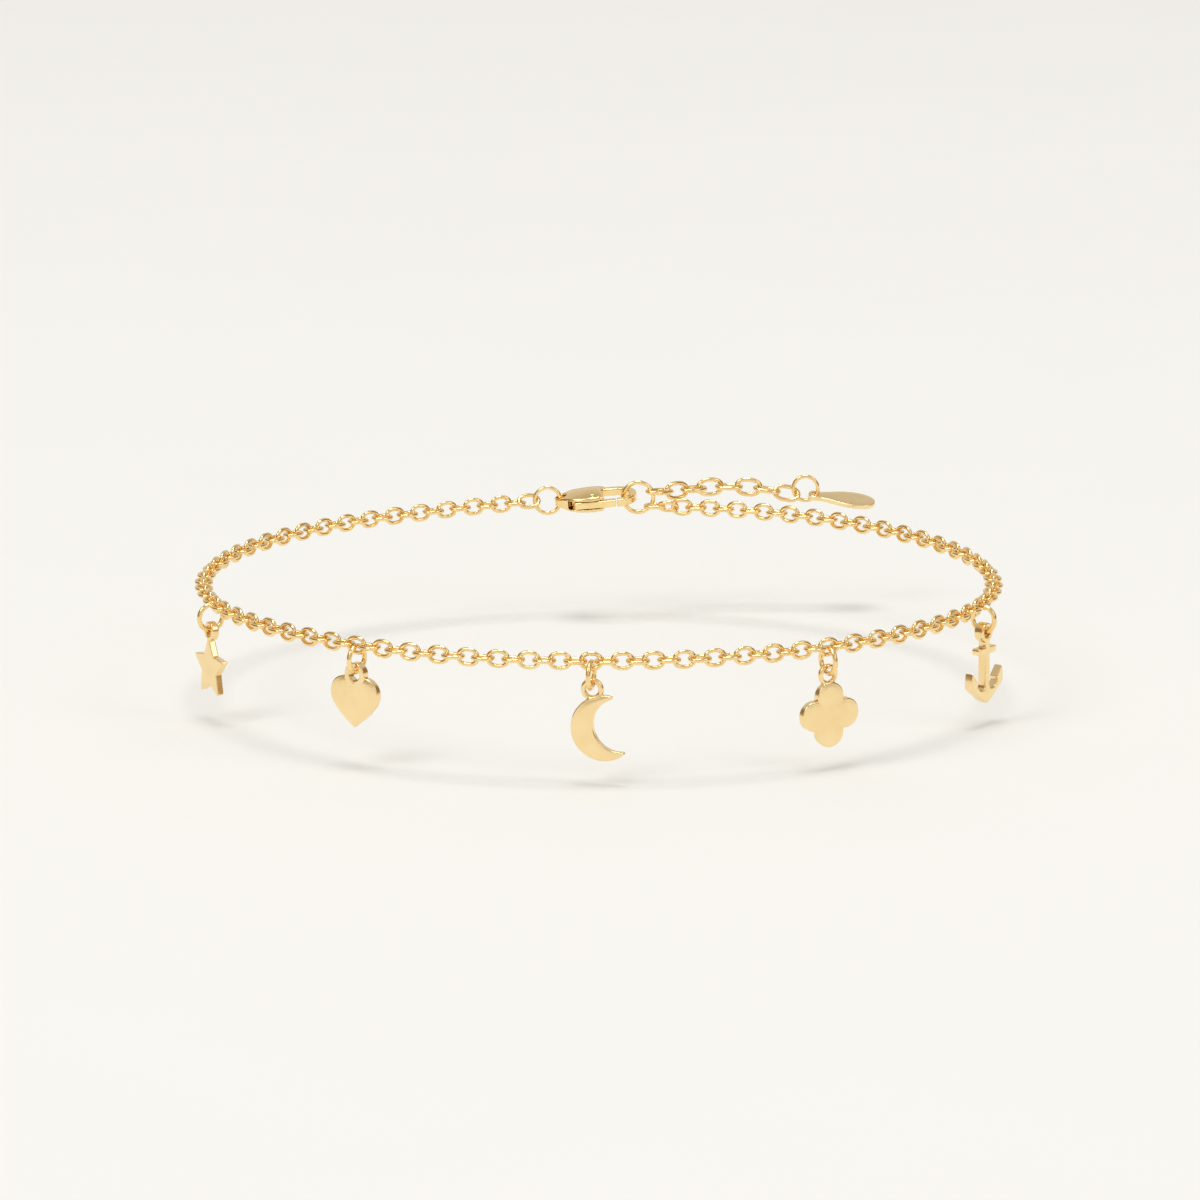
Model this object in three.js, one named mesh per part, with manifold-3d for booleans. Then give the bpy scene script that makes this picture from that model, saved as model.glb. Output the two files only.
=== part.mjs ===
// A charm anklet: a cable chain closed round the ankle by a lobster clasp, with five charms on
// jump rings along its front, and behind the clasp a short extender chain that ends in a tag.
//
// Millimetres, +Z up. The loop lies in the XY plane, centred on the origin, as it sits round a
// level ankle: the middle of its front is towards -Y, and the clasp is at the rear, towards +Y.
// A chain too fine for separate links is one tube along its route, with an eyelet wherever a
// ring passes through it.

import * as THREE from 'three';
import { mergeVertices } from 'three/addons/utils/BufferGeometryUtils.js';
import Module from 'manifold-3d';

const wasm = await Module();
wasm.setup();

// ---- driving dimensions -------------------------------------------------------------------

const DEGREE = Math.PI / 180;
const GAP = 0.12; // left round a ring's wire where it passes through a chain

const LOOP = { halfWidth: 38.354, halfDepth: 34.815 }; // centreline ellipse, 230 mm round
const CHAIN = {
  radius: 0.85,
  sides: 8,
  steps: 66,
  leftEnd: 109.1, // distance from the front centre back to the left end
  rightEnd: 110.3,
  leftRise: 0.35, // height that the left end gains to meet its ring
  rightRise: -0.09,
  riseLength: 15,
  sideDip: 0.22, // how far the loop's left and right sides hang below its front and rear
};
const LINK_PITCH = 1.4479;
const CHARM_SPACING = 16 * LINK_PITCH;
const CHARM_SHIFT = -0.706; // the middle charm hangs this far from the front centre

const JUMP_RING = { outer: 2.95, wire: 0.48, sides: 8, steps: 28 };
const CLASP_RING = { outer: 3.05, wire: 0.4, sides: 8, steps: 28, at: [-5.22, 34.58, 0.48] };
const END_RING = { outer: 3.5, wire: 0.4, sides: 8, steps: 32, at: [4.03, 34.62, 0.8] };
const TAG_RING = { outer: 2.9, wire: 0.4, sides: 8, steps: 28, at: [21.2, 38.5, 0.9] };

const EXTENDER = {
  radius: 0.85,
  sides: 8,
  steps: 14,
  route: [
    [4.8, 34.5, 1.75],
    [6.4, 35.35, 1.5],
    [8.1, 36.5, 1.12],
    [9.7, 37.5, 1.05],
    [11.4, 38.2, 1.12],
    [15.4, 38.5, 1.05],
    [17.2, 38.5, 0.75],
    [19.1, 38.5, 0.42],
    [20.5, 38.5, 0.4],
  ],
};

// Each charm hangs in a plane along the chain: u runs along the chain, v is the height above the
// chain's centreline. turn is its turn about the vertical, swing how far it hangs outwards.
const CHARMS = {
  star: { place: -2, turn: 11.1, swing: 0.52, ring: -1.26, thickness: 0.72 },
  heart: { place: -1, turn: 0, swing: 0, ring: -1.32, thickness: 0.95 },
  moon: { place: 0, turn: -12, swing: 0, ring: -1.32, thickness: 0.95 },
  clover: { place: 1, turn: 0, swing: 0, ring: -1.32, thickness: 0.95 },
  anchor: { place: 2, turn: -15.4, swing: 0.66, ring: -1.1, thickness: 0.95 },
};
const BAILS = {
  star: { u: 0.1, v: -2.56, outer: 1.84, hole: 1.06, thickness: 0.72 },
  heart: { u: -0.05, v: -2.75, outer: 2.2, hole: 1.2, thickness: 0.85 },
  moon: { u: 0.12, v: -2.66, outer: 2.2, hole: 1.15, thickness: 0.55 },
  clover: { u: -0.03, v: -2.66, outer: 2.1, hole: 1.15, thickness: 0.5 },
  anchor: { u: 0.03, v: -2.38, outer: 1.86, hole: 1.04, thickness: 0.95 },
};
const STAR = { v: -6.18, tipRadius: 2.95, innerRadius: 1.54, roll: 1.3, tipWidth: 0.12 };
const HEART = {
  u: -0.15,
  lobeU: 1.08,
  lobeV: -4.6,
  lobeRadius: 1.6,
  tipV: -7.87,
  flankAngle: -20, // where each lobe turns into its flank
  tipHandle: [1.12, 0.93], // the flank's curve, from the tip
  flankHandle: [2.19, -1.08], // and from the lobe
};
const MOON = {
  u: 1.22,
  v: -6.28,
  radius: 3.12,
  biteU: 2.76,
  biteV: -5.94,
  biteRadius: 2.55,
  blunt: 8, // degrees of outline cut off each horn
};
const CLOVER = { u: 0.12, v: -6.46, leafRadius: 1.43, leafReach: 1.69 };
const ANCHOR = {
  u: 0.18,
  shankHalf: 0.34,
  barHalf: 1.47,
  barTop: -3.84,
  barBottom: -4.52,
  tipV: -9.33,
  wellV: -8,
};

const CLASP = {
  at: [-0.3, 34.6, 0.69],
  roll: 8.2, // back edge up
  rise: 4.9, // hook end up
  half: 4.19, // half its length
  hookRadius: 2.04,
  hookBand: 0.69,
  hookHalf: 0.4, // half thickness of the hook
  mouthX: 2.17, // where the hook's tip ends
  cheekEnd: 0.86,
  backY: 2.04,
  tailRadius: 0.89,
  tailHalf: 0.47,
  eyeX: -3.48,
  eyeRadius: 0.5,
  slotHalf: 0.43,
  slotBack: -0.7,
  windowFrom: -2.8,
  windowTo: -2.3,
};
// The domed cheeks: their plan at the tail, belly and front corner, and their half thickness at
// places along the clasp and across it.
const CHEEK_PLAN = {
  tail: [-3.75, 0.55],
  tailHandle: [-2.7, -1.95],
  belly: [-0.9, -2.1],
  bellyHandle: [0.35, -2.2],
  cornerY: -1.7,
  backHandle: [-2.2, 2.1],
};
const CHEEK_ALONG = [[-3.8, 0.5], [-2.4, 0.82], [-1, 1.02], [0, 1.05], [0.86, 0.92]];
const CHEEK_ACROSS = [[-2.2, 0.68], [-1.2, 0.93], [0, 1.05], [1.2, 0.88], [2.2, 0.5]];
const LEVER = { from: -2.12, to: 2.05, front: -2.08, back: -1.35, half: 0.36, bore: 0.3 };
const PIN = { x: -0.26, y: -1.62, radius: 0.22, half: 0.8, bore: 0.27 };

const TAG = {
  at: [22.2, 38.5, 0.14],
  slope: 8, // far end down
  roll: 16, // back edge up
  length: 6.2, // from the eyelet's centre to the far end
  half: 1.42,
  thickness: 0.5,
  lugRadius: 0.72,
  hole: 0.36,
  neck: [0.2, 0.62], // where the leaf leaves the lug
  neckHandle: [1.6, 0.75],
  widenHandle: 2.4,
  widest: 3.9, // how far out the leaf is widest
  endHandle: [5.3, 0.85],
};

const GOLD = 0xe8c27a;
const PALE_GOLD = 0xf0d398;

// ---- solids -------------------------------------------------------------------------------

function toSolid(geometry) {
  const bare = geometry.clone();
  bare.deleteAttribute('normal');
  bare.deleteAttribute('uv');
  const welded = mergeVertices(bare, 1e-4);
  const mesh = new wasm.Mesh({
    numProp: 3,
    vertProperties: new Float32Array(welded.attributes.position.array),
    triVerts: new Uint32Array(welded.index.array),
  });
  return new wasm.Manifold(mesh);
}

function toGeometry(solid) {
  const mesh = solid.getMesh();
  const geometry = new THREE.BufferGeometry();
  geometry.setAttribute('position', new THREE.BufferAttribute(mesh.vertProperties, 3));
  geometry.setIndex(new THREE.BufferAttribute(mesh.triVerts, 1));
  geometry.computeVertexNormals();
  return geometry;
}

function extrude(shape, from, to, curveSegments = 12) {
  const options = { depth: to - from, bevelEnabled: false, curveSegments };
  return new THREE.ExtrudeGeometry(shape, options).translate(0, 0, from);
}

function circle(x, y, radius) {
  return new THREE.Shape().absarc(x, y, radius, 0, 2 * Math.PI, false);
}

function rectangle(x0, y0, x1, y1) {
  const corners = [[x0, y0], [x1, y0], [x1, y1], [x0, y1]];
  return new THREE.Shape(corners.map(([x, y]) => new THREE.Vector2(x, y)));
}

function polygon(points) {
  return new THREE.Shape(points.map(([x, y]) => new THREE.Vector2(x, y)));
}

function goldMesh(name, geometry, color = GOLD) {
  const material = new THREE.MeshStandardMaterial({ color, roughness: 0.16, metalness: 1 });
  const mesh = new THREE.Mesh(geometry, material);
  mesh.name = name;
  return mesh;
}

// ---- places along the chain ---------------------------------------------------------------

const loop = new THREE.EllipseCurve(
  0, 0, LOOP.halfWidth, LOOP.halfDepth, -0.5 * Math.PI, 1.5 * Math.PI, false, 0,
);
loop.arcLengthDivisions = 2000;
const LOOP_LENGTH = loop.getLength();

// The parameter of the point a distance along the loop from its front centre, + to the right.
function loopParameter(distance) {
  return (distance / LOOP_LENGTH + 1) % 1;
}

// The height of the chain's centreline away from its ends: lowest at the left and right sides.
function dipAt(x) {
  return -CHAIN.sideDip * (x / LOOP.halfWidth) ** 4;
}

class ChainRoute extends THREE.Curve {
  getPoint(t, target = new THREE.Vector3()) {
    const distance = THREE.MathUtils.lerp(-CHAIN.leftEnd, CHAIN.rightEnd, t);
    const point = loop.getPointAt(loopParameter(distance));
    const end = distance < 0 ? CHAIN.leftEnd : CHAIN.rightEnd;
    const rise = distance < 0 ? CHAIN.leftRise : CHAIN.rightRise;
    const near = THREE.MathUtils.smoothstep(Math.abs(distance), end - CHAIN.riseLength, end);
    return target.set(point.x, point.y, rise * near + dipAt(point.x));
  }
}

// A group whose X runs along the chain where a charm hangs, and whose -Y faces outwards.
function charmGroup({ place, turn, swing }) {
  const u = loopParameter(CHARM_SHIFT + place * CHARM_SPACING);
  const point = loop.getPointAt(u);
  const along = loop.getTangentAt(u);
  const group = new THREE.Group();
  const height = dipAt(point.x);
  group.position.set(point.x + swing * along.y, point.y - swing * along.x, height);
  group.rotation.z = Math.atan2(along.y, along.x) + turn * DEGREE;
  return group;
}

// ---- rings --------------------------------------------------------------------------------

function torus({ outer, wire, sides, steps }, gap = 0) {
  return new THREE.TorusGeometry((outer - wire) / 2, wire / 2 + gap, sides, steps);
}

// A jump ring stands across the chain, so its axis is the group's X.
function jumpRing(charm, gap = 0) {
  return torus(JUMP_RING, gap).rotateY(Math.PI / 2).translate(0, 0, charm.ring);
}

// The rings at the clasp and the tag stand upright and face the front.
function uprightRing(ring, gap = 0) {
  return torus(ring, gap).rotateX(Math.PI / 2).translate(...ring.at);
}

// ---- chains -------------------------------------------------------------------------------

function chainTube(route, { radius, sides, steps }) {
  const section = [];
  for (let side = 0; side < sides; side += 1) {
    const angle = ((side + 0.5) / sides) * 2 * Math.PI;
    section.push([radius * Math.cos(angle), radius * Math.sin(angle)]);
  }
  const options = { steps, extrudePath: route, bevelEnabled: false };
  return toSolid(new THREE.ExtrudeGeometry(polygon(section), options));
}

function mainChain() {
  const route = new ChainRoute();
  route.arcLengthDivisions = 1000;
  let tube = chainTube(route, CHAIN);
  for (const charm of Object.values(CHARMS)) {
    const group = charmGroup(charm);
    group.updateMatrixWorld();
    const path = jumpRing(charm, GAP).applyMatrix4(group.matrixWorld);
    tube = tube.subtract(toSolid(path));
  }
  tube = tube.subtract(toSolid(uprightRing(CLASP_RING, GAP)));
  return toGeometry(tube.subtract(toSolid(uprightRing(END_RING, GAP))));
}

function extenderChain() {
  const points = EXTENDER.route.map((point) => new THREE.Vector3(...point));
  const tube = chainTube(new THREE.CatmullRomCurve3(points), EXTENDER);
  const eyed = tube.subtract(toSolid(uprightRing(END_RING, GAP)));
  return toGeometry(eyed.subtract(toSolid(uprightRing(TAG_RING, GAP))));
}

// ---- charms -------------------------------------------------------------------------------

function starShape() {
  const points = [];
  for (let tip = 0; tip < 5; tip += 1) {
    const outward = (90 + 72 * tip) * DEGREE + STAR.roll * DEGREE;
    const valley = outward + 36 * DEGREE;
    const across = STAR.tipWidth / STAR.tipRadius;
    for (const side of [-across, across]) {
      const angle = outward + side;
      points.push([STAR.tipRadius * Math.cos(angle), STAR.v + STAR.tipRadius * Math.sin(angle)]);
    }
    points.push([STAR.innerRadius * Math.cos(valley), STAR.v + STAR.innerRadius * Math.sin(valley)]);
  }
  return polygon(points);
}

function heartShape() {
  const { u, lobeU, lobeV, lobeRadius, tipV, tipHandle, flankHandle } = HEART;
  const flankAngle = HEART.flankAngle * DEGREE;
  const notchAngle = 180 * DEGREE - Math.acos(lobeU / lobeRadius);
  const flankU = lobeU + lobeRadius * Math.cos(flankAngle);
  const flankV = lobeV + lobeRadius * Math.sin(flankAngle);
  const lowV = tipV + tipHandle[1];
  const highV = flankV + flankHandle[1];
  const shape = new THREE.Shape();
  shape.moveTo(u, tipV);
  shape.bezierCurveTo(u + tipHandle[0], lowV, u + flankHandle[0], highV, u + flankU, flankV);
  shape.absarc(u + lobeU, lobeV, lobeRadius, flankAngle, notchAngle, false);
  shape.absarc(u - lobeU, lobeV, lobeRadius, Math.PI - notchAngle, Math.PI - flankAngle, false);
  shape.bezierCurveTo(u - flankHandle[0], highV, u - tipHandle[0], lowV, u, tipV);
  return shape;
}

function moonShape() {
  const { u, v, radius, biteU, biteV, biteRadius, blunt } = MOON;
  const apart = Math.hypot(biteU - u, biteV - v);
  const towards = Math.atan2(biteV - v, biteU - u);
  const outerHalf = Math.acos((radius ** 2 + apart ** 2 - biteRadius ** 2) / (2 * radius * apart));
  const biteCos = (radius ** 2 - apart ** 2 - biteRadius ** 2) / (2 * biteRadius * apart);
  const outerFrom = towards + outerHalf + blunt * DEGREE;
  const outerTo = towards - outerHalf - blunt * DEGREE + 2 * Math.PI;
  const biteHalf = Math.acos(biteCos) + blunt * DEGREE * (radius / biteRadius);
  const shape = new THREE.Shape();
  shape.absarc(u, v, radius, outerFrom, outerTo, false);
  shape.absarc(biteU, biteV, biteRadius, towards - biteHalf + 2 * Math.PI, towards + biteHalf, true);
  return shape;
}

function anchorShape() {
  const { u, shankHalf, barHalf, barTop, barBottom, tipV, wellV } = ANCHOR;
  const half = {
    armOuter: [1.45, tipV + 0.93],
    flukeOuter: [2.65, wellV + 0.46],
    flukeTop: [2.5, wellV + 1.95],
    flukeInner: [1.66, wellV + 0.96],
    armInner: [1.8, wellV + 0.62],
    well: [1.3, wellV + 0.14],
    wellBottom: [0.84, wellV],
    wellRise: [0.45, wellV + 0.16],
    shankFoot: [shankHalf, wellV + 0.4],
    barUnder: [shankHalf, barBottom],
    barLow: [barHalf, barBottom],
    barHigh: [barHalf, barTop],
    barOver: [shankHalf, barTop],
    neck: [shankHalf, barTop + 0.9],
  };
  const right = Object.values(half).map(([x, v]) => [u + x, v]);
  const left = Object.values(half).map(([x, v]) => [u - x, v]).reverse();
  return polygon([[u - 0.1, tipV], ...right, ...left]);
}

const CHARM_OUTLINES = {
  star: () => [starShape()],
  heart: () => [heartShape()],
  moon: () => [moonShape()],
  clover: () => {
    const { u, v, leafRadius, leafReach } = CLOVER;
    const leaves = [[0, 1], [-1, 0], [0, -1], [1, 0]];
    const middle = rectangle(u - leafRadius, v - leafRadius, u + leafRadius, v + leafRadius);
    const leaf = ([x, y]) => circle(u + leafReach * x, v + leafReach * y, leafRadius);
    return [middle, ...leaves.map(leaf)];
  },
  anchor: () => [anchorShape()],
};

// The charm's plate with its bail joined on, upright in the group's XZ plane.
function charmPlate(name) {
  const half = CHARMS[name].thickness / 2;
  const { u, v, outer, hole, thickness } = BAILS[name];
  const plates = CHARM_OUTLINES[name]().map((outline) => toSolid(extrude(outline, -half, half, 14)));
  const plate = plates.reduce((whole, piece) => whole.add(piece));
  const bail = toSolid(extrude(circle(u, v, outer / 2), -thickness / 2, thickness / 2));
  const eye = toSolid(extrude(circle(u, v, hole / 2), -2 * half, 2 * half));
  return toGeometry(plate.add(bail).subtract(eye)).rotateX(Math.PI / 2);
}

// ---- clasp --------------------------------------------------------------------------------
// In the clasp's own frame X runs from the eye at the tail to the hook, -Y is the side that
// opens, and Z is its thickness.

// A section that is as thick at each place as the table says, both ways from the middle.
function mirrored(table) {
  const low = table.map(([place, half]) => [place, -half]);
  return polygon([...low, ...table.slice().reverse()]);
}

function claspDome() {
  const { cheekEnd, backY } = CLASP;
  const { tail, tailHandle, belly, bellyHandle, cornerY, backHandle } = CHEEK_PLAN;
  const plan = new THREE.Shape();
  plan.moveTo(tail[0], -tail[1]);
  plan.quadraticCurveTo(...tailHandle, ...belly);
  plan.quadraticCurveTo(...bellyHandle, cheekEnd, cornerY);
  plan.lineTo(cheekEnd, backY);
  plan.quadraticCurveTo(...backHandle, ...tail);
  const side = mirrored(CHEEK_ALONG);
  const cross = mirrored(CHEEK_ACROSS);
  const planSolid = toSolid(extrude(plan, -2, 2, 8));
  const sideSolid = toSolid(extrude(side, -3, 3).rotateX(Math.PI / 2));
  const crossGeometry = extrude(cross, -5, 5).rotateY(Math.PI / 2).rotateX(Math.PI / 2);
  return planSolid.intersect(sideSolid).intersect(toSolid(crossGeometry));
}

function claspHook() {
  const { half, hookRadius, hookBand, hookHalf, mouthX, cheekEnd, backY } = CLASP;
  const centre = half - hookRadius;
  const inner = hookRadius - hookBand;
  const shape = new THREE.Shape();
  shape.moveTo(mouthX, -hookRadius);
  shape.absarc(centre, 0, hookRadius, -0.49 * Math.PI, 0.5 * Math.PI, false);
  shape.lineTo(cheekEnd - 0.4, backY);
  shape.lineTo(cheekEnd - 0.4, inner);
  shape.absarc(centre, 0, inner, 0.5 * Math.PI, -0.49 * Math.PI, true);
  shape.lineTo(mouthX, -inner);
  return toSolid(extrude(shape, -hookHalf, hookHalf, 16));
}

function claspBody() {
  const { tailRadius, tailHalf, half, eyeX, eyeRadius, slotHalf, slotBack } = CLASP;
  const { windowFrom, windowTo, cheekEnd } = CLASP;
  const tail = toSolid(extrude(circle(tailRadius - half, 0, tailRadius), -tailHalf, tailHalf));
  const eye = toSolid(extrude(circle(eyeX, 0, eyeRadius), -2, 2));
  const slotPlan = rectangle(windowFrom, -3, cheekEnd + 0.1, slotBack);
  const slot = toSolid(extrude(slotPlan, -slotHalf, slotHalf));
  const window = toSolid(extrude(rectangle(windowFrom, -3, windowTo, 3), -slotHalf, slotHalf));
  const pinBore = toSolid(extrude(circle(PIN.x, PIN.y, PIN.bore), -2, 2));
  const cheeks = claspDome().subtract(slot).subtract(window).subtract(pinBore);
  return toGeometry(cheeks.add(claspHook()).add(tail).subtract(eye));
}

function claspLever() {
  const plan = rectangle(LEVER.from, LEVER.front, LEVER.to, LEVER.back);
  const bar = toSolid(extrude(plan, -LEVER.half, LEVER.half));
  return toGeometry(bar.subtract(toSolid(extrude(circle(PIN.x, PIN.y, LEVER.bore), -1, 1))));
}

function claspPin() {
  return extrude(circle(PIN.x, PIN.y, PIN.radius), -PIN.half, PIN.half);
}

function clasp() {
  const group = new THREE.Group();
  group.position.set(...CLASP.at);
  group.rotation.set(CLASP.roll * DEGREE, -CLASP.rise * DEGREE, 0);
  group.add(goldMesh('clasp_body', claspBody()));
  group.add(goldMesh('clasp_lever', claspLever()));
  group.add(goldMesh('clasp_pin', claspPin()));
  return group;
}

// ---- tag ----------------------------------------------------------------------------------
// In the tag's own frame X runs from its eyelet to its far end, and Z is its thickness.

function tag() {
  const { length, half, thickness, lugRadius, hole } = TAG;
  const { neck, neckHandle, widenHandle, widest, endHandle } = TAG;
  const [endX, endY] = endHandle;
  const leaf = new THREE.Shape();
  leaf.moveTo(neck[0], -neck[1]);
  leaf.bezierCurveTo(neckHandle[0], -neckHandle[1], widenHandle, -half, widest, -half);
  leaf.bezierCurveTo(endX, -half, length, -endY, length, 0);
  leaf.bezierCurveTo(length, endY, endX, half, widest, half);
  leaf.bezierCurveTo(widenHandle, half, ...neckHandle, ...neck);
  const leafSolid = toSolid(extrude(leaf, -thickness / 2, thickness / 2));
  const lug = toSolid(extrude(circle(0, 0, lugRadius), -thickness / 2, thickness / 2));
  const eyelet = toSolid(extrude(circle(0, 0, hole), -1, 1));
  const mesh = goldMesh('tag', toGeometry(leafSolid.add(lug).subtract(eyelet)), PALE_GOLD);
  mesh.position.set(...TAG.at);
  mesh.rotation.set(TAG.roll * DEGREE, TAG.slope * DEGREE, 0);
  return mesh;
}

// ---- the anklet ---------------------------------------------------------------------------

const anklet = new THREE.Group();
anklet.add(goldMesh('main_chain', mainChain()));
anklet.add(goldMesh('clasp_ring', uprightRing(CLASP_RING)));
anklet.add(goldMesh('end_ring', uprightRing(END_RING)));
anklet.add(clasp());
anklet.add(goldMesh('extender_chain', extenderChain()));
anklet.add(goldMesh('tag_ring', uprightRing(TAG_RING)));
anklet.add(tag());

for (const [name, charm] of Object.entries(CHARMS)) {
  const group = charmGroup(charm);
  group.add(goldMesh(`${name}_ring`, jumpRing(charm)));
  group.add(goldMesh(`${name}_charm`, charmPlate(name), PALE_GOLD));
  anklet.add(group);
}

export default anklet;
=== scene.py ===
"""Looks of the charm anklet: real links, rings, charms, lobster clasp and tag in polished gold.

Lengths in this file are millimetres until a mesh is made, and metres after that. +Z is up, the
middle of the anklet's front is towards -Y and its clasp is towards +Y.
"""

import math

import bpy
import numpy as np
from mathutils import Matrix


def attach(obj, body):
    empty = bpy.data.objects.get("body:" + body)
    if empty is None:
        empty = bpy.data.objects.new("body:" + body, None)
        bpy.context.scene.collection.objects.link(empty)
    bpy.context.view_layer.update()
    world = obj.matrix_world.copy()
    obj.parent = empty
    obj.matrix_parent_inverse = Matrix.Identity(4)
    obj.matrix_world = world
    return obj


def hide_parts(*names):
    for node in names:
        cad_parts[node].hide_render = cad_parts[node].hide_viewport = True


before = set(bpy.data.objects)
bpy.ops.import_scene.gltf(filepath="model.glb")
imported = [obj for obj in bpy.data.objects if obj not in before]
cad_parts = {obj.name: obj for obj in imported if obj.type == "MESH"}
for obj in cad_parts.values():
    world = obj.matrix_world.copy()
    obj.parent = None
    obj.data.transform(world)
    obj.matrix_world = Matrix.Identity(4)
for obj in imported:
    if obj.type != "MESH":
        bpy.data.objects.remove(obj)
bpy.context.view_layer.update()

MM = 0.001

# ---- driving dimensions, as in the CAD ----------------------------------------------------

LOOP_X, LOOP_Y = 38.354, 34.815
LEFT_END, RIGHT_END = 109.1, 110.3
LEFT_RISE, RIGHT_RISE, RISE_LENGTH = 0.35, -0.09, 15
SIDE_DIP = 0.22
LINK_PITCH = 1.4479
CHARM_SPACING = 16 * LINK_PITCH
CHARM_SHIFT = -0.706

LINK = {"length": 2.29, "width": 1.84, "wire": 0.4}
EXTENDER_LINK = {"length": 2.95, "width": 2.0, "wire": 0.44}
EXTENDER_POSES = (  # place of each link's middle, and its turn about the chain
    ((6.2, 35.14, 1.29), 0),
    ((7.98, 36.41, 1.12), 90),
    ((9.72, 37.48, 1.05), 0),
    ((11.4, 38.2, 1.12), 90),
    ((13.35, 38.42, 1.1), 0),
    ((15.35, 38.5, 1.05), 90),
    ((17.25, 38.5, 0.75), 0),
    ((19.25, 38.5, 0.4), 50),
)

JUMP_RING = (2.95, 0.48)  # outer diameter and wire
CLASP_RING, CLASP_RING_AT = (3.05, 0.4), (-5.22, 34.58, 0.48)
END_RING, END_RING_AT = (3.52, 0.44), (4.03, 34.62, 0.8)
TAG_RING, TAG_RING_AT = (2.9, 0.38), (21.2, 38.5, 0.9)

# name: place along the chain, turn in degrees, swing outwards, ring height, thickness
CHARMS = {
    "star": (-2, 11.1, 0.52, -1.26, 0.72),
    "heart": (-1, 0, 0, -1.32, 0.95),
    "moon": (0, -12, 0, -1.32, 0.95),
    "clover": (1, 0, 0, -1.32, 0.95),
    "anchor": (2, -15.4, 0.66, -1.1, 0.95),
}
# name: u, v, outer diameter, hole diameter, thickness, whether it is round wire
BAILS = {
    "star": (0.1, -2.56, 1.84, 1.06, 0.72, False),
    "heart": (-0.05, -2.75, 2.2, 1.2, 0.85, False),
    "moon": (0.12, -2.66, 2.2, 1.15, 0.55, True),
    "clover": (-0.03, -2.66, 2.1, 1.15, 0.5, True),
    "anchor": (0.03, -2.38, 1.86, 1.04, 0.95, False),
}
# name: edge radius, fall of the face at its edge, fall of the face 3 mm from its middle
FACES = {
    "star": (0.07, 0.02, 0.02),
    "heart": (0.1, 0.05, 0.1),
    "moon": (0.1, 0.05, 0.1),
    "clover": (0.1, 0.04, 0.08),
    "anchor": (0.08, 0.02, 0.02),
}

CLASP_AT, CLASP_ROLL, CLASP_RISE = (-0.3, 34.6, 0.69), 8.2, 4.9
TAG_AT, TAG_ROLL, TAG_SLOPE = (22.2, 38.5, 0.14), 16, 8


# ---- meshes -------------------------------------------------------------------------------

def rotation(x=0.0, y=0.0, z=0.0):
    """The turn about Z, then Y, then X, in degrees."""
    cx, sx = math.cos(math.radians(x)), math.sin(math.radians(x))
    cy, sy = math.cos(math.radians(y)), math.sin(math.radians(y))
    cz, sz = math.cos(math.radians(z)), math.sin(math.radians(z))
    about_x = np.array([[1, 0, 0], [0, cx, -sx], [0, sx, cx]])
    about_y = np.array([[cy, 0, sy], [0, 1, 0], [-sy, 0, cy]])
    about_z = np.array([[cz, -sz, 0], [sz, cz, 0], [0, 0, 1]])
    return about_x @ about_y @ about_z


def add_piece(name, points, faces, material, node, slot, body="root"):
    mesh = bpy.data.meshes.new(name)
    mesh.vertices.add(len(points))
    mesh.vertices.foreach_set("co", (np.asarray(points) * MM).astype(np.float32).ravel())
    faces = np.asarray(faces, np.int32)
    mesh.loops.add(faces.size)
    mesh.loops.foreach_set("vertex_index", faces.ravel())
    mesh.polygons.add(len(faces))
    starts = np.arange(0, faces.size, faces.shape[1], dtype=np.int32)
    mesh.polygons.foreach_set("loop_start", starts)
    mesh.polygons.foreach_set("loop_total", np.full(len(faces), faces.shape[1], np.int32))
    mesh.update()
    mesh.validate()
    mesh.shade_smooth()
    mesh.materials.append(material)
    piece = bpy.data.objects.new(name, mesh)
    bpy.context.scene.collection.objects.link(piece)
    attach(piece, body)
    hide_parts(node)
    return piece


def sweep(path, normals, binormal, wire, sides):
    """A closed wire round a flat closed path."""
    steps = len(path)
    angle = np.arange(sides) * 2 * math.pi / sides
    across = np.cos(angle)[None, :, None] * normals[:, None, :]
    along = np.sin(angle)[None, :, None] * np.asarray(binormal)[None, None, :]
    points = path[:, None, :] + wire / 2 * (across + along)
    i, j = np.meshgrid(np.arange(steps), np.arange(sides), indexing="ij")
    a = i * sides + j
    b = (i + 1) % steps * sides + j
    c = (i + 1) % steps * sides + (j + 1) % sides
    d = i * sides + (j + 1) % sides
    return points.reshape(-1, 3), np.stack([a, b, c, d], -1).reshape(-1, 4)


def ring_mesh(outer, wire, steps=80, sides=20):
    """A wire ring in the XY plane."""
    angle = np.arange(steps) * 2 * math.pi / steps
    normals = np.stack([np.cos(angle), np.sin(angle), 0 * angle], -1)
    return sweep(normals * (outer - wire) / 2, normals, (0, 0, 1), wire, sides)


def link_mesh(length, width, wire, steps=28, sides=10):
    """An oval link in the XY plane, long in X."""
    angle = (np.arange(steps) + 0.5) * 2 * math.pi / steps
    square = 2 / 2.25
    c, s = np.cos(angle), np.sin(angle)
    x = (length - wire) / 2 * np.sign(c) * np.abs(c) ** square
    y = (width - wire) / 2 * np.sign(s) * np.abs(s) ** square
    path = np.stack([x, y, 0 * x], -1)
    tangent = np.roll(path, -1, 0) - np.roll(path, 1, 0)
    tangent /= np.linalg.norm(tangent, axis=1)[:, None]
    normals = np.stack([tangent[:, 1], -tangent[:, 0], 0 * x], -1)
    return sweep(path, normals, (0, 0, 1), wire, sides)


def joined(meshes):
    points, faces, start = [], [], 0
    for p, f in meshes:
        points.append(p)
        faces.append(f + start)
        start += len(p)
    return np.concatenate(points), np.concatenate(faces)


# ---- distance fields ----------------------------------------------------------------------

def arc(x, y, radius, start, end, steps):
    a = np.radians(np.linspace(start, end, steps))
    return [(x + radius * math.cos(t), y + radius * math.sin(t)) for t in a]


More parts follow.
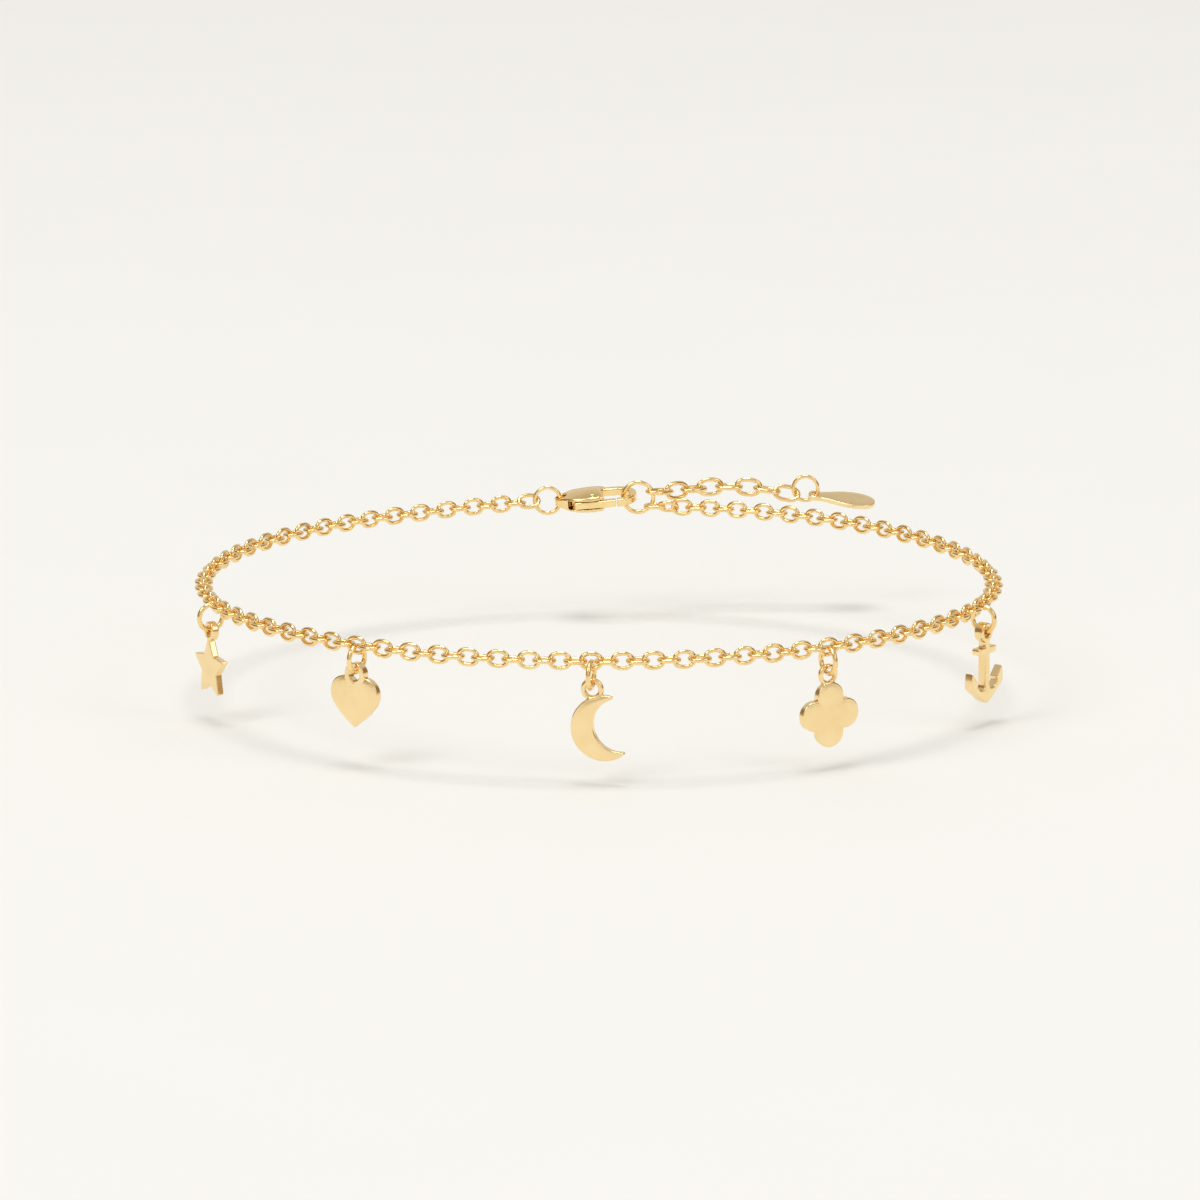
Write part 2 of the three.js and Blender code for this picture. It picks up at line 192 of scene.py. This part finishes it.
def bezier(points, steps):
    p = np.array(points, float)
    t = np.linspace(0, 1, steps)[:, None]
    while len(p.shape) == 2:
        p = np.repeat(p[None], steps, 0)
    while p.shape[1] > 1:
        p = p[:, :-1] * (1 - t[:, None]) + p[:, 1:] * t[:, None]
    return [tuple(q) for q in p[:, 0]]


def through(points, steps):
    """A smooth curve through the points."""
    p = np.array([points[0], *points, points[-1]], float)
    out = []
    for i in range(1, len(p) - 2):
        for t in np.linspace(0, 1, steps, endpoint=False):
            a, b, c, d = p[i - 1], p[i], p[i + 1], p[i + 2]
            out.append(tuple(0.5 * (2 * b + (c - a) * t + (2 * a - 5 * b + 4 * c - d) * t**2
                                    + (3 * b - a - 3 * c + d) * t**3)))
    return out + [tuple(points[-1])]


def outline(points):
    """The signed distance to a closed polygon in the plane, below 0 inside."""
    p = np.array(points, float)
    p = p[np.linalg.norm(p - np.roll(p, 1, 0), axis=1) > 1e-6]
    q = np.roll(p, -1, 0)

    e = q - p
    length = (e**2).sum(1)
    latest = {}

    def distance(x, y):
        key = (x.shape, float(x.ravel()[0]), float(x.sum()), float(y.ravel()[0]), float(y.sum()))
        if latest.get("key") == key:
            return latest["value"]
        wide_x, wide_y = np.broadcast_arrays(x, y)
        flat_x, flat_y = wide_x.ravel(), wide_y.ravel()
        out = np.empty(flat_x.size)
        for start in range(0, flat_x.size, 1000):
            px = flat_x[start:start + 1000, None] - p[None, :, 0]
            py = flat_y[start:start + 1000, None] - p[None, :, 1]
            t = np.clip((px * e[:, 0] + py * e[:, 1]) / length, 0, 1)
            near = ((px - t * e[:, 0]) ** 2 + (py - t * e[:, 1]) ** 2).min(1)
            crosses = (py >= 0) != (py >= e[:, 1])
            left = (e[:, 0] * py > e[:, 1] * px) == (e[:, 1] > 0)
            odd = (crosses & left).sum(1) % 2 == 1
            out[start:start + 1000] = np.sqrt(near) * np.where(odd, -1, 1)
        latest["key"], latest["value"] = key, out.reshape(wide_x.shape)
        return latest["value"]

    return distance


def join(a, b, k=0.08):
    """The union of two fields, with a small fillet."""
    h = np.maximum(k - np.abs(a - b), 0) / k
    return np.minimum(a, b) - h * h * k / 4


def cut(a, b, k=0.06):
    """Field a with field b taken out, its edge softened."""
    return -join(-a, b, k)


def disc(x, y, u, v, radius):
    return np.hypot(x - u, y - v) - radius


def slab(flat, height, edge):
    """A plate of the flat field, with height the field across it and rounded edges."""
    a, b = flat + edge, height + edge
    return np.minimum(np.maximum(a, b), 0) + np.hypot(np.maximum(a, 0), np.maximum(b, 0)) - edge


def block(x, y, z, low, high, edge=0.0):
    d = [np.maximum(lo - c, c - hi) + edge for c, lo, hi in zip((x, y, z), low, high)]
    outside = np.sqrt(sum(np.maximum(c, 0) ** 2 for c in d))
    return outside + np.minimum(np.maximum(np.maximum(d[0], d[1]), d[2]), 0) - edge


def surface(field, low, high, step):
    """A mesh of the surface where the field is 0."""
    step = step * 1
    axes = [np.arange(lo - 2.3 * step, hi + 2.6 * step, step) for lo, hi in zip(low, high)]
    x, y, z = axes[0][:, None, None], axes[1][None, :, None], axes[2][None, None, :]
    values = np.broadcast_to(field(x, y, z), [len(a) for a in axes])
    inside = values < 0
    cells = tuple(n - 1 for n in values.shape)
    total = np.zeros(cells + (3,))
    count = np.zeros(cells)
    for axis in range(3):
        others = [k for k in range(3) if k != axis]
        for da in (0, 1):
            for db in (0, 1):
                at = [slice(0, n) for n in cells]
                at[others[0]] = slice(da, cells[others[0]] + da)
                at[others[1]] = slice(db, cells[others[1]] + db)
                to = list(at)
                to[axis] = slice(1, cells[axis] + 1)
                a, b = values[tuple(at)], values[tuple(to)]
                cross = inside[tuple(at)] != inside[tuple(to)]
                t = np.where(cross, a / np.where(cross, a - b, 1), 0)
                count += cross
                total[..., axis] += t
                total[..., others[0]] += da * cross
                total[..., others[1]] += db * cross
    active = count > 0
    number = np.full(cells, -1)
    number[active] = np.arange(active.sum())
    corner = np.argwhere(active)
    points = (corner + total[active] / count[active][:, None]) * step
    points += np.array([a[0] for a in axes])
    faces = []
    for axis in range(3):
        b, c = (axis + 1) % 3, (axis + 2) % 3
        at = [slice(1, -1)] * 3
        at[axis] = slice(0, -1)
        to = [slice(1, -1)] * 3
        to[axis] = slice(1, None)
        changes = inside[tuple(at)] != inside[tuple(to)]
        where = np.argwhere(changes) + np.array([0 if k == axis else 1 for k in range(3)])
        falls = inside[tuple(at)][changes]
        step_b, step_c = np.eye(3, dtype=int)[b], np.eye(3, dtype=int)[c]
        ring = [where, where - step_b, where - step_b - step_c, where - step_c]
        quad = np.stack([number[tuple(w.T)] for w in ring], -1)
        faces.append(np.where(falls[:, None], quad[:, ::-1], quad)[:, ::-1])
    faces = np.concatenate(faces)
    tiny = 0.02 * step
    for _ in range(2):
        px, py, pz = points.T
        here = field(px, py, pz)
        slope = np.stack([
            field(px, py, pz + tiny) - here,
            field(px + tiny, py, pz) - here,
            field(px, py + tiny, pz) - here,
        ], -1)[:, [1, 2, 0]] / tiny
        steep = np.maximum((slope**2).sum(1), 0.25)
        move = (-here / steep)[:, None] * slope
        far = np.linalg.norm(move, axis=1)
        points = points + move * np.minimum(1, 0.5 * step / np.maximum(far, 1e-9))[:, None]
    return points, faces


# ---- places along the chain ---------------------------------------------------------------

_t = np.linspace(-0.5 * math.pi, 1.5 * math.pi, 20001)
_xy = np.stack([LOOP_X * np.cos(_t), LOOP_Y * np.sin(_t)], -1)
_arc = np.concatenate([[0], np.cumsum(np.linalg.norm(np.diff(_xy, axis=0), axis=1))])
LOOP_LENGTH = _arc[-1]


def chain_point(distance, ends=True):
    """The point of the chain a distance from its front centre, + to the right."""
    t = np.interp(distance % LOOP_LENGTH, _arc, _t)
    x, y = LOOP_X * math.cos(t), LOOP_Y * math.sin(t)
    height = -SIDE_DIP * (x / LOOP_X) ** 4
    if ends:
        end, rise = (LEFT_END, LEFT_RISE) if distance < 0 else (RIGHT_END, RIGHT_RISE)
        near = min(max((abs(distance) - end + RISE_LENGTH) / RISE_LENGTH, 0), 1)
        height += rise * near * near * (3 - 2 * near)
    return np.array([x, y, height])


def link_at(shape, point, along, roll):
    """A link placed at a point, long way along, its plane turned by roll from flat."""
    points, faces = shape
    along = along / np.linalg.norm(along)
    side = np.cross((0, 0, 1), along)
    side /= np.linalg.norm(side)
    up = np.cross(along, side)
    c, s = math.cos(math.radians(roll)), math.sin(math.radians(roll))
    frame_axes = np.stack([along, c * side + s * up, c * up - s * side])
    return points @ frame_axes + point, faces


def main_links():
    shape = link_mesh(**LINK)
    end_shape = link_mesh(**{**LINK, "length": 2.5})
    rng = np.random.default_rng(7)
    meshes = []
    for i in range(-74, 77):
        distance = CHARM_SHIFT + i * LINK_PITCH
        roll = 90 if i % 2 == 0 else 0
        roll += rng.uniform(-3, 3)
        point = chain_point(distance)
        along = chain_point(distance + 0.3) - chain_point(distance - 0.3)
        if i == -74:
            held = np.array([-6.545, 34.58, 0.48])
            along = held - chain_point(distance + LINK_PITCH)
            point = held - along / np.linalg.norm(along) * 0.62
            meshes.append(link_at(end_shape, point, along, 45))
            continue
        if i == 75:
            roll = 45
        if i == 76:
            roll, point = 0, np.array([5.7, 34.5, -0.09])
        meshes.append(link_at(shape, point, along, roll))
    return joined(meshes)


def extender_links():
    shape = link_mesh(**EXTENDER_LINK)
    long_shape = link_mesh(**{**EXTENDER_LINK, "length": 3.2})
    places = [np.array(p) for p, _ in EXTENDER_POSES]
    meshes = []
    for i, (_, roll) in enumerate(EXTENDER_POSES):
        before, after = places[max(i - 1, 0)], places[min(i + 1, len(places) - 1)]
        along = after - before
        if i == 0:
            along = places[1] - (5.47, 34.62, 1.33)
        meshes.append(link_at(long_shape if i == 0 else shape, places[i], along, roll))
    return joined(meshes)


# ---- charms -------------------------------------------------------------------------------

def star_outline():
    points = []
    for tip in range(5):
        outward = math.radians(90 + 72 * tip + 1.3)
        for side in (-0.12, 0.12):
            a = outward + side / 2.95
            points.append((2.95 * math.cos(a), -6.18 + 2.95 * math.sin(a)))
        a = outward + math.radians(36)
        points.append((1.54 * math.cos(a), -6.18 + 1.54 * math.sin(a)))
    flat = outline(points)
    return lambda x, y: flat(x, y)


def heart_outline():
    u, lobe_u, lobe_v, radius, tip = -0.15, 1.08, -4.6, 1.6, -7.87
    notch = 180 - math.degrees(math.acos(lobe_u / radius))
    flank_u = lobe_u + radius * math.cos(math.radians(-20))
    flank_v = lobe_v + radius * math.sin(math.radians(-20))
    right = bezier([(0, tip), (1.12, tip + 0.93), (2.19, flank_v - 1.08), (flank_u, flank_v)], 90)
    right += arc(lobe_u, lobe_v, radius, -20, notch, 150)
    points = [(u + x, y) for x, y in right] + [(u - x, y) for x, y in reversed(right)]
    return outline(points)


def moon_outline():
    u, v, radius, bite_u, bite_v, bite_radius, blunt = 1.22, -6.28, 3.12, 2.76, -5.94, 2.55, 8
    apart = math.hypot(bite_u - u, bite_v - v)
    towards = math.degrees(math.atan2(bite_v - v, bite_u - u))
    outer = math.degrees(math.acos(
        (radius**2 + apart**2 - bite_radius**2) / (2 * radius * apart)))
    bite = math.degrees(math.acos(
        (radius**2 - apart**2 - bite_radius**2) / (2 * bite_radius * apart)))
    bite += blunt * radius / bite_radius
    points = arc(u, v, radius, towards + outer + blunt, towards - outer - blunt + 360, 220)
    points += arc(bite_u, bite_v, bite_radius, towards - bite + 360, towards + bite, 180)
    return outline(points)


def clover_outline():
    u, v, leaf, reach = 0.12, -6.46, 1.43, 1.69

    def distance(x, y):
        a, b = np.abs(x - u), np.abs(y - v)
        leaves = np.minimum(np.hypot(a - reach, b), np.hypot(a, b - reach)) - leaf
        middle = np.maximum(a, b) - leaf
        return join(leaves, middle, 0.05)

    return distance


def anchor_outline():
    u, tip, well = 0.18, -9.33, -8
    outer = through([(-0.1, tip), (0.75, tip + 0.36), (1.5, tip + 0.93), (2.15, well + 0.02),
                     (2.65, well + 0.46)], 14)
    inner = through([(1.8, well + 0.62), (1.32, well + 0.14), (0.84, well), (0.47, well + 0.13),
                     (0.34, well + 0.42)], 14)
    fluke = bezier([(2.65, well + 0.46), (2.72, well + 1.2), (2.5, well + 1.95)], 20)
    fluke += bezier([(2.5, well + 1.95), (2, well + 1.35), (1.66, well + 0.96)], 20)
    half = outer + fluke + inner + [(0.34, -2.95)]
    left = [(-x, y) for x, y in reversed(half[14:])]
    arms = outline([(u + x, y) for x, y in half + left])

    def distance(x, y):
        bar_x = np.abs(x - u) - (1.47 - 0.24)
        bar_y = np.abs(y + 4.18) - (0.34 - 0.24)
        bar = np.hypot(np.maximum(bar_x, 0), np.maximum(bar_y, 0))
        bar = bar + np.minimum(np.maximum(bar_x, bar_y), 0) - 0.24
        return join(arms(x, y), bar, 0.1)

    return distance


def heart_eye(x, y, u, v, radius):
    """The heart's eye runs down into a point at the notch."""
    round_eye = disc(x, y, u, v, radius)
    t = np.clip((v - y) / 0.74, 0, 1)
    point = np.hypot(x - u + 0.07 * t, y - v + 0.74 * t) - 0.42 * (1 - t) - 0.05
    return join(round_eye, point, 0.12)


OUTLINES = {
    "star": star_outline,
    "heart": heart_outline,
    "moon": moon_outline,
    "clover": clover_outline,
    "anchor": anchor_outline,
}


def charm_field(name):
    flat = OUTLINES[name]()
    half = CHARMS[name][4] / 2
    u, v, outer, hole, thickness, wire = BAILS[name]
    edge, fall, cap = FACES[name]
    middle = {"star": -6.18, "heart": -5.5, "moon": -6.28, "clover": -6.46, "anchor": -6.5}[name]

    def field(x, y, z):
        d = flat(x, y)
        eye = heart_eye if name == "heart" else disc
        opening = eye(x, y, u, v, hole / 2)
        face = half - fall * np.exp(-((np.minimum(d, 0) / 0.4) ** 2))
        face = face - cap * (x**2 + (y - middle) ** 2) / 9
        plate = slab(cut(d, opening, 0.04), np.abs(z) - face, edge)
        if wire:
            radius, section = (outer + hole) / 4, (outer - hole) / 4
            around = np.hypot(disc(x, y, u, v, radius), z * 2 * section / thickness) - section
            return join(plate, around, 0.12)
        ring = cut(disc(x, y, u, v, outer / 2), opening, 0.02)
        return join(plate, slab(ring, np.abs(z) - thickness / 2, 0.1), 0.08)

    return field


CHARM_BOXES = {
    "star": ((-2.95, -8.75, -0.38), (2.95, -1.6, 0.38)),
    "heart": ((-2.9, -7.95, -0.5), (2.6, -1.6, 0.5)),
    "moon": ((-1.95, -9.45, -0.5), (4.2, -1.5, 0.5)),
    "clover": ((-3.05, -9.65, -0.5), (3.3, -1.55, 0.5)),
    "anchor": ((-2.6, -9.4, -0.5), (2.95, -1.4, 0.5)),
}


def charm_place(name):
    """The charm's frame: its turn as columns, and its place."""
    place, turn, swing, _, _ = CHARMS[name]
    distance = CHARM_SHIFT + place * CHARM_SPACING
    point = chain_point(distance, ends=False)
    along = chain_point(distance + 0.01, ends=False) - chain_point(distance - 0.01, ends=False)
    along /= np.linalg.norm(along)
    point = point + (swing * along[1], -swing * along[0], 0)
    angle = math.degrees(math.atan2(along[1], along[0])) + turn
    return rotation(z=angle), point


# ---- clasp --------------------------------------------------------------------------------

def curve_of(knots):
    """A smooth function through (place, value) knots."""
    xs, ys = (np.array(c, float) for c in zip(*knots))
    slopes = np.gradient(ys, xs)

    def value(x):
        x = np.clip(x, xs[0], xs[-1])
        i = np.clip(np.searchsorted(xs, x) - 1, 0, len(xs) - 2)
        h = xs[i + 1] - xs[i]
        t = (x - xs[i]) / h
        return (ys[i] * (1 + 2 * t) * (1 - t) ** 2 + slopes[i] * h * t * (1 - t) ** 2
                + ys[i + 1] * t * t * (3 - 2 * t) + slopes[i + 1] * h * t * t * (t - 1))

    return value


def clasp_field():
    plan = outline(
        bezier([(-3.75, -0.55), (-2.7, -1.95), (-0.9, -2.1)], 60)
        + bezier([(-0.9, -2.1), (0.35, -2.2), (0.86, -1.7)], 40)
        + bezier([(0.86, -1.7), (0.45, -0.3), (0.5, 1.3), (1.0, 2.04)], 60)
        + bezier([(1.0, 2.04), (-2.2, 2.1), (-3.75, 0.55)], 90)
    )
    hook = outline(
        [(2.17, -2.04)]
        + arc(2.15, 0, 2.04, -88, 90, 140)
        + [(0.4, 2.04), (0.4, 1.35)]
        + arc(2.15, 0, 1.35, 90, -88, 120)
        + [(2.17, -1.35)]
    )
    side = curve_of([(-3.9, 0.46), (-3.2, 0.64), (-2.4, 0.84), (-1, 1.02), (0, 1.05), (0.9, 0.93)])
    across = curve_of([(-2.3, 0.66), (-1.2, 0.92), (0, 1), (1.2, 0.84), (2.2, 0.46)])

    def field(x, y, z):
        cheeks = slab(plan(x, y), np.abs(z) - side(x) * across(y), 0.22)
        slot = block(x, y, z, (-2.8, -3, -0.43), (0.96, -0.7, 0.43), 0.05)
        window = block(x, y, z, (-2.8, -3, -0.43), (-2.3, 3, 0.43), 0.08)
        bore = disc(x, y, -0.26, -1.62, 0.24)
        cheeks = cut(cut(cheeks, slot, 0.05), window, 0.05)
        cheeks = cut(cheeks, bore, 0.04)
        tail = slab(disc(x, y, -3.3, 0, 0.89), np.abs(z) - 0.47, 0.16)
        band = slab(hook(x, y), np.abs(z) - 0.4, 0.13)
        whole = join(join(cheeks, tail, 0.15), band, 0.06)
        return cut(whole, disc(x, y, -3.48, 0, 0.53), 0.16)

    return field


def lever_field(x, y, z):
    bar = block(x, y, z, (-2.12, -2.08, -0.36), (2.05, -1.35, 0.36), 0.09)
    groove = block(x, y, z, (1.42, -2.2, -0.5), (1.46, -2.04, 0.5), 0.0)
    return cut(cut(bar, disc(x, y, -0.26, -1.62, 0.3), 0.04), groove, 0.03)


def pin_field(x, y, z):
    return slab(disc(x, y, -0.26, -1.62, 0.22), np.abs(z) - 0.8, 0.08)


# ---- tag ----------------------------------------------------------------------------------

def tag_field():
    leaf = outline(
        bezier([(0.2, -0.62), (1.6, -0.75), (2.4, -1.42), (3.9, -1.42)], 70)
        + bezier([(3.9, -1.42), (5.3, -1.42), (6.2, -0.85), (6.2, 0)], 70)
        + bezier([(6.2, 0), (6.2, 0.85), (5.3, 1.42), (3.9, 1.42)], 70)
        + bezier([(3.9, 1.42), (2.4, 1.42), (1.6, 0.75), (0.2, 0.62)], 70)
    )

    def field(x, y, z):
        d = leaf(x, y)
        face = 0.25 - 0.03 * np.exp(-((np.minimum(d, 0) / 0.3) ** 2))
        plate = slab(d, np.abs(z) - face, 0.08)
        lug = slab(disc(x, y, 0, 0, 0.72), np.abs(z) - 0.24, 0.1)
        return cut(join(plate, lug, 0.12), disc(x, y, 0, 0, 0.36), 0.08)

    return field


# ---- finishes -----------------------------------------------------------------------------

def node(tree, kind, **values):
    made = tree.nodes.new(kind)
    for key, value in values.items():
        if key in made.inputs:
            made.inputs[key].default_value = value
        else:
            setattr(made, key, value)
    return made


def gold(name, light, deep, smooth, rough, ripple):
    """Polished gold: a slow drift of tone, finer patches of polish and faint waves."""
    material = bpy.data.materials.new(name)
    material.use_nodes = True
    tree = material.node_tree
    shader = tree.nodes["Principled BSDF"]
    shader.inputs["Metallic"].default_value = 1.0
    place = node(tree, "ShaderNodeTexCoord")
    tone = node(tree, "ShaderNodeTexNoise", Scale=420.0, Detail=4.0, Roughness=0.6)
    tree.links.new(place.outputs["Object"], tone.inputs["Vector"])
    colours = node(tree, "ShaderNodeValToRGB")
    colours.color_ramp.elements[0].position = 0.36
    colours.color_ramp.elements[0].color = (*deep, 1)
    colours.color_ramp.elements[1].position = 0.62
    colours.color_ramp.elements[1].color = (*light, 1)
    tree.links.new(tone.outputs["Fac"], colours.inputs["Fac"])
    tree.links.new(colours.outputs["Color"], shader.inputs["Base Color"])
    polish = node(tree, "ShaderNodeTexNoise", Scale=3200.0, Detail=5.0, Roughness=0.65)
    tree.links.new(place.outputs["Object"], polish.inputs["Vector"])
    spread = node(tree, "ShaderNodeMapRange")
    spread.inputs["From Min"].default_value = 0.3
    spread.inputs["From Max"].default_value = 0.7
    spread.inputs["To Min"].default_value = smooth
    spread.inputs["To Max"].default_value = rough
    tree.links.new(polish.outputs["Fac"], spread.inputs["Value"])
    tree.links.new(spread.outputs["Result"], shader.inputs["Roughness"])
    waves = node(tree, "ShaderNodeTexNoise", Scale=1100.0, Detail=2.0, Roughness=0.4)
    tree.links.new(place.outputs["Object"], waves.inputs["Vector"])
    bump = node(tree, "ShaderNodeBump", Strength=ripple, Distance=0.00002)
    tree.links.new(waves.outputs["Fac"], bump.inputs["Height"])
    tree.links.new(bump.outputs["Normal"], shader.inputs["Normal"])
    return material


def floor_finish():
    material = bpy.data.materials.new("floor_finish")
    material.use_nodes = True
    tree = material.node_tree
    shader = tree.nodes["Principled BSDF"]
    shader.inputs["Roughness"].default_value = 0.9
    place = node(tree, "ShaderNodeTexCoord")
    grain = node(tree, "ShaderNodeTexNoise", Scale=30.0, Detail=4.0)
    tree.links.new(place.outputs["Object"], grain.inputs["Vector"])
    colours = node(tree, "ShaderNodeValToRGB")
    colours.color_ramp.elements[0].color = (0.865, 0.876, 0.862, 1)
    colours.color_ramp.elements[1].color = (0.88, 0.891, 0.877, 1)
    tree.links.new(grain.outputs["Fac"], colours.inputs["Fac"])
    tree.links.new(colours.outputs["Color"], shader.inputs["Base Color"])
    return material


WIRE_GOLD = gold("wire_gold", (1.0, 0.76, 0.38), (0.94, 0.67, 0.29), 0.1, 0.17, 0.015)
CHARM_GOLD = gold("charm_gold", (1.0, 0.78, 0.43), (0.96, 0.73, 0.38), 0.17, 0.24, 0.08)
CLASP_GOLD = gold("clasp_gold", (1.0, 0.77, 0.39), (0.95, 0.69, 0.31), 0.1, 0.17, 0.02)

# ---- pieces -------------------------------------------------------------------------------

add_piece("main_chain_links", *main_links(), WIRE_GOLD, "main_chain", "gold_wire")
add_piece("extender_links", *extender_links(), WIRE_GOLD, "extender_chain", "gold_wire")

for name, (outer, wire), at in (
    ("clasp_ring", CLASP_RING, CLASP_RING_AT),
    ("end_ring", END_RING, END_RING_AT),
    ("tag_ring", TAG_RING, TAG_RING_AT),
):
    points, faces = ring_mesh(outer, wire)
    points = points @ rotation(x=90).T + at
    add_piece(f"{name}_wire", points, faces, WIRE_GOLD, name, "gold_wire")

for name in CHARMS:
    turned, place = charm_place(name)
    points, faces = ring_mesh(*JUMP_RING)
    points = (points @ rotation(y=90).T + (0, 0, CHARMS[name][3])) @ turned.T + place
    add_piece(f"{name}_ring_wire", points, faces, WIRE_GOLD, f"{name}_ring", "gold_wire")
    points, faces = surface(charm_field(name), *CHARM_BOXES[name], 0.055)
    points = points @ rotation(x=90).T @ turned.T + place
    add_piece(f"{name}_plate", points, faces, CHARM_GOLD, f"{name}_charm", "gold_charm")

clasp_turn = rotation(x=CLASP_ROLL, y=-CLASP_RISE)
for name, field, box, step, body in (
    ("clasp_body", clasp_field(), ((-4.2, -2.15, -1.06), (4.2, 2.12, 1.06)), 0.06, "root"),
    ("clasp_lever", lever_field, ((-2.15, -2.1, -0.38), (2.1, -1.3, 0.38)), 0.05, "lever"),
    ("clasp_pin", pin_field, ((-0.5, -1.86, -0.82), (-0.02, -1.38, 0.82)), 0.04, "root"),
):
    points, faces = surface(field, *box, step)
    points = points @ clasp_turn.T + CLASP_AT
    add_piece(f"{name}_cast", points, faces, CLASP_GOLD, name, "gold_clasp", body)

points, faces = surface(tag_field(), (-0.75, -1.45, -0.26), (6.25, 1.45, 0.26), 0.055)
points = points @ rotation(x=TAG_ROLL, y=TAG_SLOPE).T + TAG_AT
add_piece("tag_plate", points, faces, CHARM_GOLD, "tag", "gold_charm")

# ---- studio -------------------------------------------------------------------------------

FLOOR_Z = -0.0118
corners = [(-4, -4, FLOOR_Z), (4, -4, FLOOR_Z), (4, 4, FLOOR_Z), (-4, 4, FLOOR_Z)]
floor_mesh = bpy.data.meshes.new("floor")
floor_mesh.from_pydata(corners, [], [(0, 1, 2, 3)])
floor_mesh.materials.append(floor_finish())
floor = bpy.data.objects.new("floor", floor_mesh)
bpy.context.scene.collection.objects.link(floor)

world = bpy.data.worlds.new("studio")
bpy.context.scene.world = world
world.use_nodes = True
sky = world.node_tree
background = sky.nodes["Background"]
direction = node(sky, "ShaderNodeTexCoord")
parts = node(sky, "ShaderNodeSeparateXYZ")
sky.links.new(direction.outputs["Generated"], parts.inputs["Vector"])
shade = node(sky, "ShaderNodeValToRGB")
ramp = shade.color_ramp
ramp.elements[0].position, ramp.elements[0].color = 0.0, (0.8, 0.72, 0.6, 1)
ramp.elements[1].position, ramp.elements[1].color = 1.0, (0.9, 0.89, 0.87, 1)
for position, value in ((0.12, 0.95), (0.3, 1.15), (0.6, 1.0), (0.8, 0.8)):
    stop = ramp.elements.new(position)
    stop.color = (value, value * 0.97, value * 0.93, 1)
sky.links.new(parts.outputs["Z"], shade.inputs["Fac"])
sideways = node(sky, "ShaderNodeMath", operation="ABSOLUTE")
sky.links.new(parts.outputs["X"], sideways.inputs[0])
wings = node(sky, "ShaderNodeMapRange", interpolation_type="SMOOTHSTEP")
wings.inputs["From Min"].default_value = 0.62
wings.inputs["From Max"].default_value = 0.82
sky.links.new(sideways.outputs[0], wings.inputs["Value"])
flags = node(sky, "ShaderNodeMix", data_type="RGBA")
sky.links.new(wings.outputs["Result"], flags.inputs[0])
sky.links.new(shade.outputs["Color"], flags.inputs[6])
flags.inputs[7].default_value = (0.4, 0.27, 0.14, 1)
sky.links.new(flags.outputs[2], background.inputs["Color"])
background.inputs["Strength"].default_value = 0.66


def softbox(name, at, aim, width, height, power):
    light = bpy.data.lights.new(name, "AREA")
    light.shape = "RECTANGLE"
    light.size, light.size_y = width, height
    light.energy = power
    light.color = (1.0, 0.99, 0.975)
    lamp = bpy.data.objects.new(name, light)
    bpy.context.scene.collection.objects.link(lamp)
    lamp.location = at
    ahead = np.array(aim) - np.array(at)
    lamp.rotation_euler = (
        math.atan2(math.hypot(ahead[0], ahead[1]), -ahead[2]),
        0,
        math.atan2(-ahead[0], ahead[1]),
    )


softbox("top", (0, -0.05, 2.0), (0, 0, 0), 0.7, 0.7, 14.5)
softbox("key", (-1.25, -1.1, 1.9), (0, 0, 0), 1.0, 1.0, 12.5)
softbox("fill", (1.6, -0.9, 1.3), (0, 0, 0), 0.8, 1.2, 4.5)

# The picture keeps the white of the floor and the warmth of the gold.
bpy.context.scene.view_settings.view_transform = "Standard"

camera_data = bpy.data.cameras.new("camera")
camera_data.lens = 208.8
camera_data.sensor_width = 36
camera_data.clip_start, camera_data.clip_end = 0.05, 20
camera = bpy.data.objects.new("camera", camera_data)
bpy.context.scene.collection.objects.link(camera)
distance, elevation = 0.67646, math.radians(12.6)
camera.location = (0, -distance * math.cos(elevation), distance * math.sin(elevation))
camera.rotation_euler = (math.radians(77.2263), 0, math.radians(-0.0107))
bpy.context.scene.camera = camera
